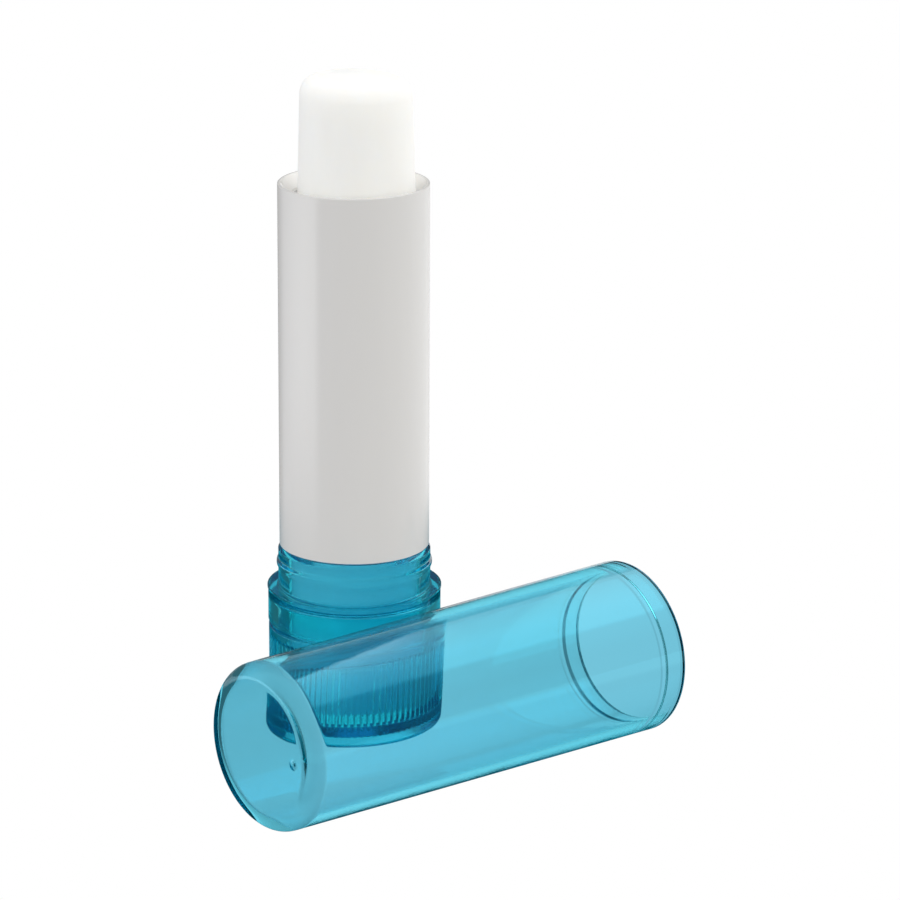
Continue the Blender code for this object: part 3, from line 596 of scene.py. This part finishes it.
class BALMSTICK_OT_dial(bpy.types.Operator):
    """Clear knob with its pressed flutes, tongue, foot and the boss that drives the screw"""
    bl_idname = "balm_stick.dial"
    bl_label = "Dial"

    def execute(self, context):
        s = settings("dial")
        clear = bpy.data.materials["clear tinted styrene, base"]
        bore = s.radius - s.wall
        ring_bore = settings("barrel").spigot + GAP
        tongue = settings("collar").skirt - GAP
        ring_height = 1.6 * MM
        ring_bottom = s.height - ring_height
        floor_top = s.recess + s.floor
        boss_top = floor_top + s.boss
        socket, boss = 2.35 * MM, 3.55 * MM
        foot_ring = s.radius - s.foot - s.foot_ring
        recess_draft = 0.1 * MM
        flute_end = s.height - s.flute_land
        run_out = 0.25 * MM
        hide = HIDDEN_FACETS
        inside = [      # radius, height, rounding, facets
            (0.0, floor_top, 0, hide),
            (socket, floor_top, SLIGHT, hide),
            (socket, boss_top, SLIGHT, hide),
            (boss, boss_top, 0.15 * MM, hide),
            (boss, floor_top, 0.15 * MM, hide),
            (bore, floor_top, 0.3 * MM, 3),
            (bore, ring_bottom, SLIGHT, hide),
            (ring_bore, ring_bottom, 0.08 * MM, hide),
            (ring_bore, TONGUE_TOP, 0.25 * MM, 3),
            (tongue, TONGUE_TOP, 0.3 * MM, 3),
            (tongue, s.height, 0.08 * MM, hide),
            (s.radius, s.height, 0.22 * MM, 4),
        ]
        foot = [
            (s.radius, 0.0, s.foot, 8),
            (foot_ring, 0.0, 0.15 * MM, 3),
            (foot_ring - recess_draft, s.recess, 0.15 * MM, hide),
            (0.0, s.recess, 0, hide),
        ]
        points = rounded(inside + foot, False)
        slack = 0.01 * MM
        wall = next(i for i, (r, z) in enumerate(points) if r > s.radius - slack and z < ring_bottom)
        points[wall:wall] = [(s.radius, level) for level in flute_levels(s.flute_start, flute_end, run_out)]
        shell = lathe(points, False, s.flutes * FLUTE_STEPS)
        shell = through_nodes(shell, flute_tree(), {
            "Flutes": s.flutes, "Depth": s.flute_depth, "Start": s.flute_start, "End": flute_end,
            "Run-out": run_out, "Shell radius": bore + s.wall / 2, "Material": clear})
        make_piece("dial_knob", shell, clear, "knob", ["dial"], on_stick())
        return {"FINISHED"}


class BALMSTICK_OT_mechanism(bpy.types.Operator):
    """Drive screw and carrier inside the tube"""
    bl_idname = "balm_stick.mechanism"
    bl_label = "Drive screw and carrier"

    def execute(self, context):
        plain = moulded_white("natural white acetal", ACETAL, 0.35)
        for name in ("spindle", "carrier"):
            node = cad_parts[name]
            node.data.materials.clear()
            node.data.materials.append(plain)
        return {"FINISHED"}


class BALMSTICK_OT_balm(bpy.types.Operator):
    """Stick of balm with its rounded, slightly tilted nose"""
    bl_idname = "balm_stick.balm"
    bl_label = "Balm"

    def execute(self, context):
        s = settings("balm")
        wax = poured_balm("poured balm", s.colour, s.shade)
        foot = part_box("balm")[0].z
        cup_floor, cup_height = 1.5 * MM, 7.3 * MM
        cup_rim = foot - cup_floor + cup_height
        top = foot + s.length
        dome, taper, solid_nose, hub = 0.5 * MM, 13.0 * MM, 3.2 * MM, 4.8 * MM
        in_cup, round_hub, round_screw = 5.8 * MM, 4.3 * MM, 3.2 * MM
        dome_steps, fillet_steps, taper_steps, column_steps = 12, 16, 12, 8
        shoulder = top - dome
        flat = s.nose - s.fillet
        points = [(flat * k / dome_steps, top - dome * (k / dome_steps) ** 2) for k in range(dome_steps)]
        for k in range(fillet_steps + 1):
            angle = math.pi / 2 * (1 - k / fillet_steps)
            points.append((flat + s.fillet * math.cos(angle), shoulder - s.fillet * (1 - math.sin(angle))))
        wall_top = shoulder - s.fillet
        taper_end = top - taper
        for k in range(1, taper_steps + 1):
            points.append((s.nose + (s.radius - s.nose) * k / taper_steps,
                           wall_top + (taper_end - wall_top) * k / taper_steps))
        for k in range(1, column_steps + 1):
            points.append((s.radius, taper_end + (cup_rim - taper_end) * k / column_steps))
        column = len(points)
        points += [
            (in_cup, cup_rim), (in_cup, foot), (round_hub, foot), (round_hub, foot + hub),
            (round_screw, foot + hub), (round_screw, top - solid_nose), (0.0, top - solid_nose)]
        bm = lathe(points, False, BALM_STEPS)
        bm.verts.ensure_lookup_table()
        # The column's skin leans a little, stands off the tube's middle, and has shallow dents
        lean, lean_length, set_off, set_off_turn = math.radians(2.0), 6.5 * MM, 0.3 * MM, math.radians(-38.0)
        dent_size, dent_depth, side_share, near_axis = 3.2 * MM, 0.05 * MM, 0.4, 0.1 * MM
        aside = Vector((math.cos(set_off_turn), math.sin(set_off_turn), 0.0))
        lean_start = top - lean_length
        column_vertices = 1 + (column - 1) * BALM_STEPS
        for vert in list(bm.verts)[:column_vertices]:
            share = max(0.0, (vert.co.z - lean_start) / (top - lean_start))
            vert.co.z -= vert.co.dot(aside) * math.tan(lean) * share
            dent = noise.noise(vert.co / dent_size) * dent_depth
            outward = Vector((vert.co.x, vert.co.y, 0.0))
            if outward.length > near_axis and share == 0.0:
                vert.co += outward.normalized() * dent * side_share
            elif share > 0.0:
                vert.co.z += dent * share
            vert.co += aside * set_off
        bmesh.ops.recalc_face_normals(bm, faces=bm.faces)
        make_piece("balm_stick", bm, wax, "lift", ["balm"], on_stick())
        return {"FINISHED"}


def raise_nub(bm, place, radius, height):
    """Push a small round nub out of the cap's closed end, which faces down its own axis."""
    for vert in bm.verts:
        away = (vert.co - place).length / radius
        if away < 1.0:
            vert.co.z -= height * (1.0 - away * away) ** 2


class BALMSTICK_OT_cap(bpy.types.Operator):
    """Clear cap lying on its side, with its snap groove and the nub left by its gate"""
    bl_idname = "balm_stick.cap"
    bl_label = "Cap"

    def execute(self, context):
        s = settings("cap")
        clear = clear_styrene("clear tinted styrene, cap", s.tint, s.dye, s.depth, 0.03)
        end = s.mouth - CAP_TAPER
        groove = s.bore_mouth + s.groove_depth
        groove_middle = CAP_LENGTH - settings("collar").bead_above
        groove_flat = 0.25 * MM
        lead, lead_length = 0.12 * MM, 0.3 * MM
        inner = 4
        corners = [     # radius, place along the cap, rounding, facets
            (end, 0.0, s.edge, 10),
            (s.mouth, CAP_LENGTH, 0.12 * MM, CORNER_FACETS),
            (s.bore_mouth + lead, CAP_LENGTH, SHARP, inner),
            (s.bore_mouth, CAP_LENGTH - lead_length, 0.15 * MM, inner),
            (s.bore_mouth, groove_middle + BEAD_HALF, 0.3 * MM, inner),
            (groove, groove_middle + groove_flat, 0.4 * MM, inner),
            (groove, groove_middle - groove_flat, 0.4 * MM, inner),
            (s.bore_mouth, groove_middle - BEAD_HALF, 0.3 * MM, inner),
            (s.bore_end, s.wall, s.corner, 12),
            (0.0, s.wall, 0, 1),
        ]
        # Close rings on the closed end, where the nub stands
        nub_place, nub_radius = Vector((-0.13 * MM, -6.08 * MM, 0.0)), 0.7 * MM
        first_ring, ring_step, rings = 5.2 * MM, 0.13 * MM, 15
        disc = [(0.0, 0.0, 0, 1)] + [(first_ring + k * ring_step, 0.0, 0, 1) for k in range(rings)]
        bm = lathe(rounded(disc + corners, False), False, CAP_STEPS)
        raise_nub(bm, nub_place, nub_radius, s.nub)
        lean = s.edge * math.sin(CAP_TILT)
        centre = Vector((CAP_LOW.x + end * math.sin(CAP_TILT) - lean,
                         (CAP_LOW.y + CAP_HIGH.y) / 2, end * math.cos(CAP_TILT)))
        place = Matrix.Translation(centre) @ Matrix.Rotation(math.pi / 2 - CAP_TILT, 4, "Y")
        cap = make_piece("cap_shell", bm, clear, "cover", ["cap"], place)
        cap.visible_diffuse = False
        return {"FINISHED"}


# Light. Each ramp runs once round the horizon: 0 and 1 meet behind the object, 0.25 is the camera's left,
# 0.5 its own side and 0.75 its right.

COOL, PLAIN, WARM = (0.985, 0.99, 1.02), (1.0, 1.0, 1.0), (1.01, 1.0, 0.985)
WALLS_SHARES = (
    (0.0, 0.85, PLAIN), (0.135, 0.85, PLAIN), (0.25, 0.95, COOL), (0.34, 0.95, COOL),
    (0.50, 0.95, WARM), (0.62, 0.95, WARM), (0.80, 1.05, PLAIN), (0.90, 1.0, PLAIN), (1.0, 0.85, PLAIN),
)
INNER_SHARES = (
    (0.0, 1.0, PLAIN), (0.018, 1.0, PLAIN), (0.034, 0.15, PLAIN), (0.17, 0.15, PLAIN),
    (0.20, 0.22, PLAIN), (0.34, 0.25, PLAIN), (0.50, 0.5, PLAIN), (0.66, 0.38, PLAIN), (0.72, 0.25, PLAIN),
    (0.80, 0.3, PLAIN), (0.86, 0.2, PLAIN), (0.966, 0.3, PLAIN), (0.982, 1.0, PLAIN), (1.0, 1.0, PLAIN),
)
OUTER_SHARES = (
    (0.0, 0.1, PLAIN), (0.17, 0.1, PLAIN), (0.20, 0.7, COOL), (0.34, 0.7, COOL), (0.50, 0.4, PLAIN),
    (0.66, 0.3, PLAIN), (0.72, 0.2, PLAIN), (0.80, 0.3, PLAIN), (0.86, 0.1, PLAIN), (1.0, 0.1, PLAIN),
)
LOW_SHARES = (
    (0.0, 1.0, PLAIN), (0.02, 1.0, PLAIN), (0.05, 0.75, PLAIN), (0.15, 0.6, PLAIN), (0.30, 0.45, PLAIN),
    (0.50, 0.5, PLAIN), (0.80, 0.45, PLAIN), (0.91, 0.7, PLAIN), (0.94, 1.0, PLAIN), (1.0, 1.0, PLAIN),
)
BACKDROP_SHARES = (
    (0.0, 1.0, PLAIN), (0.018, 1.0, PLAIN), (0.034, 0.8, PLAIN), (0.08, 1.0, PLAIN), (0.15, 1.2, PLAIN),
    (0.22, 0.9, PLAIN), (0.80, 0.8, PLAIN), (0.885, 0.35, PLAIN), (0.966, 0.35, PLAIN), (0.982, 1.0, PLAIN),
    (1.0, 1.0, PLAIN),
)
# Painted light on the floor, round the horizon: brightest on the camera's right and darkest behind on its
# left
FLOOR_GLOW_SHARES = (
    (0.002, 0.8, PLAIN), (0.020, 0.3, PLAIN), (0.115, 0.3, PLAIN),
    (0.135, 0.85, COOL), (0.25, 0.85, COOL), (0.34, 0.7, COOL),
    (0.50, 0.68, WARM), (0.62, 0.72, WARM),
    (0.70, 1.0, PLAIN), (0.80, 1.3, PLAIN), (0.90, 1.2, PLAIN), (0.97, 0.8, PLAIN), (0.998, 0.8, PLAIN),
)
HORIZON_TURN = math.radians(128.0)      # turns the ramps' start to the side behind the object
BEHIND = (0.6307, 0.7760, 0.0)          # level direction from the camera to the object
WHITE = (1.0, 1.0, 1.0, 1.0)

# Light round the object, and tints of the light that clear walls turn back or let through
SOFT_SKY = (1.2, 1.2, 1.2, 1.0)         # overhead, for matt surfaces
MIRRORED_SKY = (0.7, 0.7, 0.7, 1.0)     # overhead, mirrored by polished ones
DARK_OUTSIDE = (0.1, 0.1, 0.1, 1.0)     # behind the object, mirrored on the outside of a clear wall
DARK_INSIDE = (0.35, 0.35, 0.35, 1.0)   # over the backdrop, mirrored inside a clear wall
DYED = (0.7, 1.12, 1.2, 1.0)            # what is mirrored inside a clear wall
ONE_VEIL = (0.5, 0.8, 0.9, 1.0)         # what shows through one wall only
BEHIND_CLEAR = (1.0, 0.85, 1.06, 1.0)   # light on matt pieces inside clear ones
NESTED = (1.0, 1.35, 1.15, 1.0)         # what shows through wall after wall
ONCE, ONE_WALL, MANY_WALLS = 0.5, 2.5, 7.5      # counts of surfaces passed, between whole numbers

# Overhead softbox. Its angles run, in radians, from behind the object over the top towards the camera.
SOFTBOX_BACK = 0.80                     # angle of its straight back edge
SOFTBOX_CORNER = 0.571                  # where a direction's x is below this, the edge runs aslant
SOFTBOX_SLANT = 15.4                    # change of its angle with x there

# Painted light and shade on the glowing floor
STRIP_DIM = (0.9, 0.91, 0.94, 1.0)      # painted light of the left softbox on the floor, at its dim end
STRIP_BRIGHT = (2.9, 2.92, 3.0, 1.0)    # and at its bright end
BASE_SHADE = (0.0, 0.15, 0.22, 1.0)     # painted shade in a dim turquoise on the floor round the base, mirrored by polished surfaces
NEAR_FLOOR_GLOW = (0.8, 0.8, 0.8, 1.0)       # painted light on the floor round the base, even all round, for all else
FAR_FLOOR_GLOW = (0.9, 1.5, 1.5, 1.0)        # painted turquoise glow on the floor beyond the base, mirrored inside clear walls

CAMERA_PLACE = (-0.276379, -0.349918, 0.167589)
CAMERA_AIM = (0.0108218, 0.0036008, 0.0323282)
CAMERA_ROLL = math.radians(0.27694)
SENSOR_WIDTH = 36.0                     # millimetres
BOUNCES = 32                            # light passes many clear walls


def fill_ramp(ramp, stops):
    """Set a colour ramp's stops from (place, level, tint)."""
    ramp.elements[0].position = stops[0][0]
    ramp.elements[1].position = stops[-1][0]
    for place, level, tint in stops[1:-1]:
        ramp.elements.new(place)
    for element, (place, level, tint) in zip(ramp.elements, stops):
        element.color = (level * tint[0], level * tint[1], level * tint[2], 1.0)


def round_horizon(tree, place, stops):
    """Light that a ramp gives each side of the studio, and the place along the ramp."""
    turned = add_node(tree, "ShaderNodeMapping", {"Vector": place, "Rotation": (0.0, 0.0, HORIZON_TURN)})
    sweep = add_node(tree, "ShaderNodeTexGradient", {
        "Vector": turned.outputs["Vector"]}, gradient_type="RADIAL")
    ramp = add_node(tree, "ShaderNodeValToRGB", {"Fac": sweep.outputs["Fac"]})
    fill_ramp(ramp.color_ramp, stops)
    return ramp.outputs["Color"], sweep.outputs["Fac"]


def overhead_softbox(tree, xyz):
    """Share of a direction that the overhead softbox covers, and its light there.

    It hangs over the cap, with a crisp back edge. At its aslant end it is strong and dims towards the
    camera. Beyond, it is mild and grows.
    """
    made = {"x": xyz["X"], "y": xyz["Y"], "z": xyz["Z"]}
    add_rows(tree, made, (
        ("rise", "ARCTAN2", "z", "y"), ("short", "SUBTRACT", SOFTBOX_CORNER, "x"),
        ("slant", "MAXIMUM", "short", 0.0), ("edge", "MULTIPLY_ADD", "slant", SOFTBOX_SLANT, SOFTBOX_BACK),
        ("inside", "SUBTRACT", "rise", "edge"),
        ("back", "smooth", "inside", -0.03, 0.06), ("front", "smooth", "rise", 2.14, 2.03),
        ("left", "smooth", "x", 0.3, 0.45), ("right", "smooth", "x", 0.95, 0.85),
        ("deep", "MULTIPLY", "back", "front"), ("long", "MULTIPLY", "deep", "left"),
        ("cover", "MULTIPLY", "long", "right"),
        ("strong", "range", "rise", 1.0, 2.05, 3.2, 1.9), ("mild", "range", "rise", 0.9, 1.6, 0.9, 1.8),
        ("beyond", "smooth", "x", 0.553, 0.577), ("light", "blend", "beyond", "strong", "mild")))
    return made["cover"], made["light"]


def studio_world(strength):
    """Soft light from all round, with a softbox overhead.

    The eye sees plain white. Matt surfaces get even light. Polished ones mirror a dark side behind the
    object, and a view through clear walls meets the white backdrop with a dark gap on either side.
    """
    world = bpy.data.worlds.new("white studio")
    world.use_nodes = True
    tree = world.node_tree
    tree.nodes.clear()
    place = add_node(tree, "ShaderNodeTexCoord").outputs["Generated"]
    xyz = add_node(tree, "ShaderNodeSeparateXYZ", {"Vector": place}).outputs
    ray = add_node(tree, "ShaderNodeLightPath").outputs
    behind = add_node(tree, "ShaderNodeVectorMath", {0: place, 1: BEHIND}, operation="DOT_PRODUCT")
    made = {"z": xyz["Z"], "behind": behind.outputs["Value"], "camera": ray["Is Camera Ray"]}
    for kind in ("Glossy Depth", "Transmission Depth", "Diffuse Depth"):
        made[kind] = ray[kind]
    for name, stops in (
            ("walls", WALLS_SHARES), ("inner", INNER_SHARES), ("outer", OUTER_SHARES),
            ("below", LOW_SHARES), ("backdrop", BACKDROP_SHARES)):
        made[name] = round_horizon(tree, place, stops)[0]
    made["cover"], made["softbox"] = overhead_softbox(tree, xyz)
    add_rows(tree, made, (
        ("mirrored", "GREATER_THAN", "Glossy Depth", ONCE),
        ("passed", "GREATER_THAN", "Transmission Depth", ONCE),
        ("scattered", "GREATER_THAN", "Diffuse Depth", ONCE),
        ("one wall", "LESS_THAN", "Transmission Depth", ONE_WALL),
        ("many walls", "GREATER_THAN", "Transmission Depth", MANY_WALLS),
        ("high", "smooth", "z", 0.3, 0.8), ("low", "smooth", "z", -0.36, -0.5),
        ("back half", "smooth", "behind", 0.2, 0.45), ("over backdrop", "smooth", "z", 0.38, 0.46),
        ("gap", "MULTIPLY", "back half", "over backdrop"),
        ("soft", "mix", "high", "walls", SOFT_SKY),
        ("outer sky", "mix", "high", "outer", MIRRORED_SKY),
        ("outer dark", "mix", "back half", "outer sky", DARK_OUTSIDE),
        ("outer lit", "mix", "cover", "outer dark", "softbox"),
        ("inner sky", "mix", "high", "inner", MIRRORED_SKY),
        ("inner dark", "mix", "gap", "inner sky", DARK_INSIDE),
        ("inner lit", "mix", "cover", "inner dark", "softbox"),
        ("inner all", "mix", "low", "inner lit", "below"),
        ("dyed", "tint", 1.0, "inner all", DYED),
        ("veil", "mix", "one wall", WHITE, ONE_VEIL),
        ("level", "mix", "low", "backdrop", "below"),
        ("through", "tint", 1.0, "level", "veil"),
        ("straight", "mix", "passed", "soft", "through"),
        ("turned back", "mix", "passed", "outer lit", "dyed"),
        ("polished", "mix", "mirrored", "straight", "turned back"),
        ("behind clear", "mix", "passed", WHITE, BEHIND_CLEAR),
        ("matt", "tint", 1.0, "soft", "behind clear"),
        ("all rays", "mix", "scattered", "polished", "matt"),
        ("nested", "mix", "many walls", WHITE, NESTED),
        ("gathered", "tint", 1.0, "all rays", "nested"),
        ("plain", "mix", "camera", "gathered", WHITE)))
    studio = add_node(tree, "ShaderNodeBackground", {"Color": made["plain"], "Strength": strength})
    add_node(tree, "ShaderNodeOutputWorld", {"Surface": studio.outputs["Background"]})
    return world


def painted_light_floor(strength):
    """White floor that glows with painted light, brighter in a painted strip where the left softbox would
    fall on it, and plain white to the eye.

    Close round the base it has painted shade. Polished surfaces mirror it there in a dim turquoise, and
    clear walls mirror a painted glow brighter beyond.
    """
    material, tree, output = new_material("floor with painted light and shade")
    place = add_node(tree, "ShaderNodeTexCoord").outputs["Object"]
    flat = add_node(tree, "ShaderNodeVectorMath", {
        0: place, 1: STICK_AXIS}, operation="SUBTRACT").outputs["Vector"]
    ray = add_node(tree, "ShaderNodeLightPath").outputs
    made = {"depth": ray["Transmission Depth"]}
    made.update(glossy=ray["Is Glossy Ray"], camera=ray["Is Camera Ray"])
    made["glow"], made["sweep"] = round_horizon(tree, flat, FLOOR_GLOW_SHARES)
    made["reach"] = add_node(tree, "ShaderNodeVectorMath", {0: flat}, operation="LENGTH").outputs["Value"]
    add_rows(tree, made, (
        ("back", "smooth", "sweep", 0.13, 0.16), ("front", "smooth", "sweep", 0.355, 0.335),
        ("wide", "MULTIPLY", "back", "front"), ("far", "smooth", "reach", 0.06, 0.16),
        ("softbox", "MULTIPLY", "wide", "far"), ("rise", "smooth", "sweep", 0.14, 0.30),
        ("near", "smooth", "reach", 0.10, 0.07), ("close", "smooth", "reach", 0.07, 0.04),
        ("inside", "GREATER_THAN", "depth", ONCE),
        ("beyond base", "smooth", "reach", 0.025, 0.035, 0.0, "inside"),
        # Painted light: the left softbox's strip, the shade round the base and the glow beyond are painted
        # into the floor's emission
        ("strip", "mix", "rise", STRIP_DIM, STRIP_BRIGHT),
        ("lit", "mix", "softbox", "glow", "strip"),
        ("cast", "mix", "near", "lit", BASE_SHADE),
        ("bright", "mix", "close", "glow", NEAR_FLOOR_GLOW),
        ("patched", "mix", "beyond base", "cast", FAR_FLOOR_GLOW),
        ("mirrored", "mix", "glossy", "bright", "patched"),
        ("plain", "mix", "camera", "mirrored", WHITE)))
    table = add_node(tree, "ShaderNodeEmission", {"Color": made["plain"], "Strength": strength})
    tree.links.new(table.outputs["Emission"], output.inputs["Surface"])
    material.cycles.emission_sampling = "NONE"
    return material


class BALMSTICK_OT_stage(bpy.types.Operator):
    """Plain pale floor, soft studio light and the camera"""
    bl_idname = "balm_stick.stage"
    bl_label = "Stage"

    def execute(self, context):
        s = settings("stage")
        scene = context.scene
        scene.view_settings.view_transform = "Standard"
        for kind in ("max", "transmission", "glossy"):
            setattr(scene.cycles, kind + "_bounces", BOUNCES)
        scene.cycles.blur_glossy = 0.0
        scene.world = studio_world(s.light)
        bm = bmesh.new()
        bmesh.ops.create_grid(bm, x_segments=1, y_segments=1, size=s.floor / 2)
        mesh = bpy.data.meshes.new("floor")
        bm.to_mesh(mesh)
        bm.free()
        mesh.materials.append(painted_light_floor(s.light))
        floor = bpy.data.objects.new("floor", mesh)
        floor.visible_transmission = False
        scene.collection.objects.link(floor)
        lens = bpy.data.cameras.new("camera")
        lens.lens = s.lens
        lens.sensor_width = SENSOR_WIDTH
        lens.clip_start, lens.clip_end = 0.01, 20.0
        camera = bpy.data.objects.new("camera", lens)
        scene.collection.objects.link(camera)
        camera.location = CAMERA_PLACE
        camera.rotation_mode = "QUATERNION"
        look = (Vector(CAMERA_AIM) - camera.location).to_track_quat("-Z", "Y")
        roll = Matrix.Rotation(CAMERA_ROLL, 4, "Z").to_quaternion()
        camera.rotation_quaternion = look @ roll
        scene.camera = camera
        return {"FINISHED"}


class BALMSTICK_PT_sidebar(bpy.types.Panel):
    """Lists the pieces of the stick"""
    bl_idname = "BALMSTICK_PT_sidebar"
    bl_label = "Lip Balm Stick"
    bl_space_type = "VIEW_3D"
    bl_region_type = "UI"
    bl_category = "Lip Balm"

    def draw(self, context):
        for operator in OPERATORS:
            self.layout.operator(operator.bl_idname)


GROUPS = {"barrel": BarrelSettings, "collar": CollarSettings, "dial": DialSettings, "balm": BalmSettings,
          "cap": CapSettings, "stage": StageSettings}
OPERATORS = (BALMSTICK_OT_barrel, BALMSTICK_OT_collar, BALMSTICK_OT_dial, BALMSTICK_OT_mechanism,
             BALMSTICK_OT_balm, BALMSTICK_OT_cap, BALMSTICK_OT_stage)


def register():
    for name, group in GROUPS.items():
        bpy.utils.register_class(group)
        setattr(bpy.types.Scene, "balm_stick_" + name, bpy.props.PointerProperty(type=group))
    for item in (*OPERATORS, BALMSTICK_PT_sidebar):
        bpy.utils.register_class(item)


def unregister():
    for item in reversed((*OPERATORS, BALMSTICK_PT_sidebar)):
        bpy.utils.unregister_class(item)
    for name, group in reversed(GROUPS.items()):
        delattr(bpy.types.Scene, "balm_stick_" + name)
        bpy.utils.unregister_class(group)


def main():
    register()
    bpy.ops.balm_stick.barrel()
    bpy.ops.balm_stick.collar()
    bpy.ops.balm_stick.dial()
    bpy.ops.balm_stick.mechanism()
    bpy.ops.balm_stick.balm()
    bpy.ops.balm_stick.cap()
    bpy.ops.balm_stick.stage()


if __name__ == "__main__":
    main()
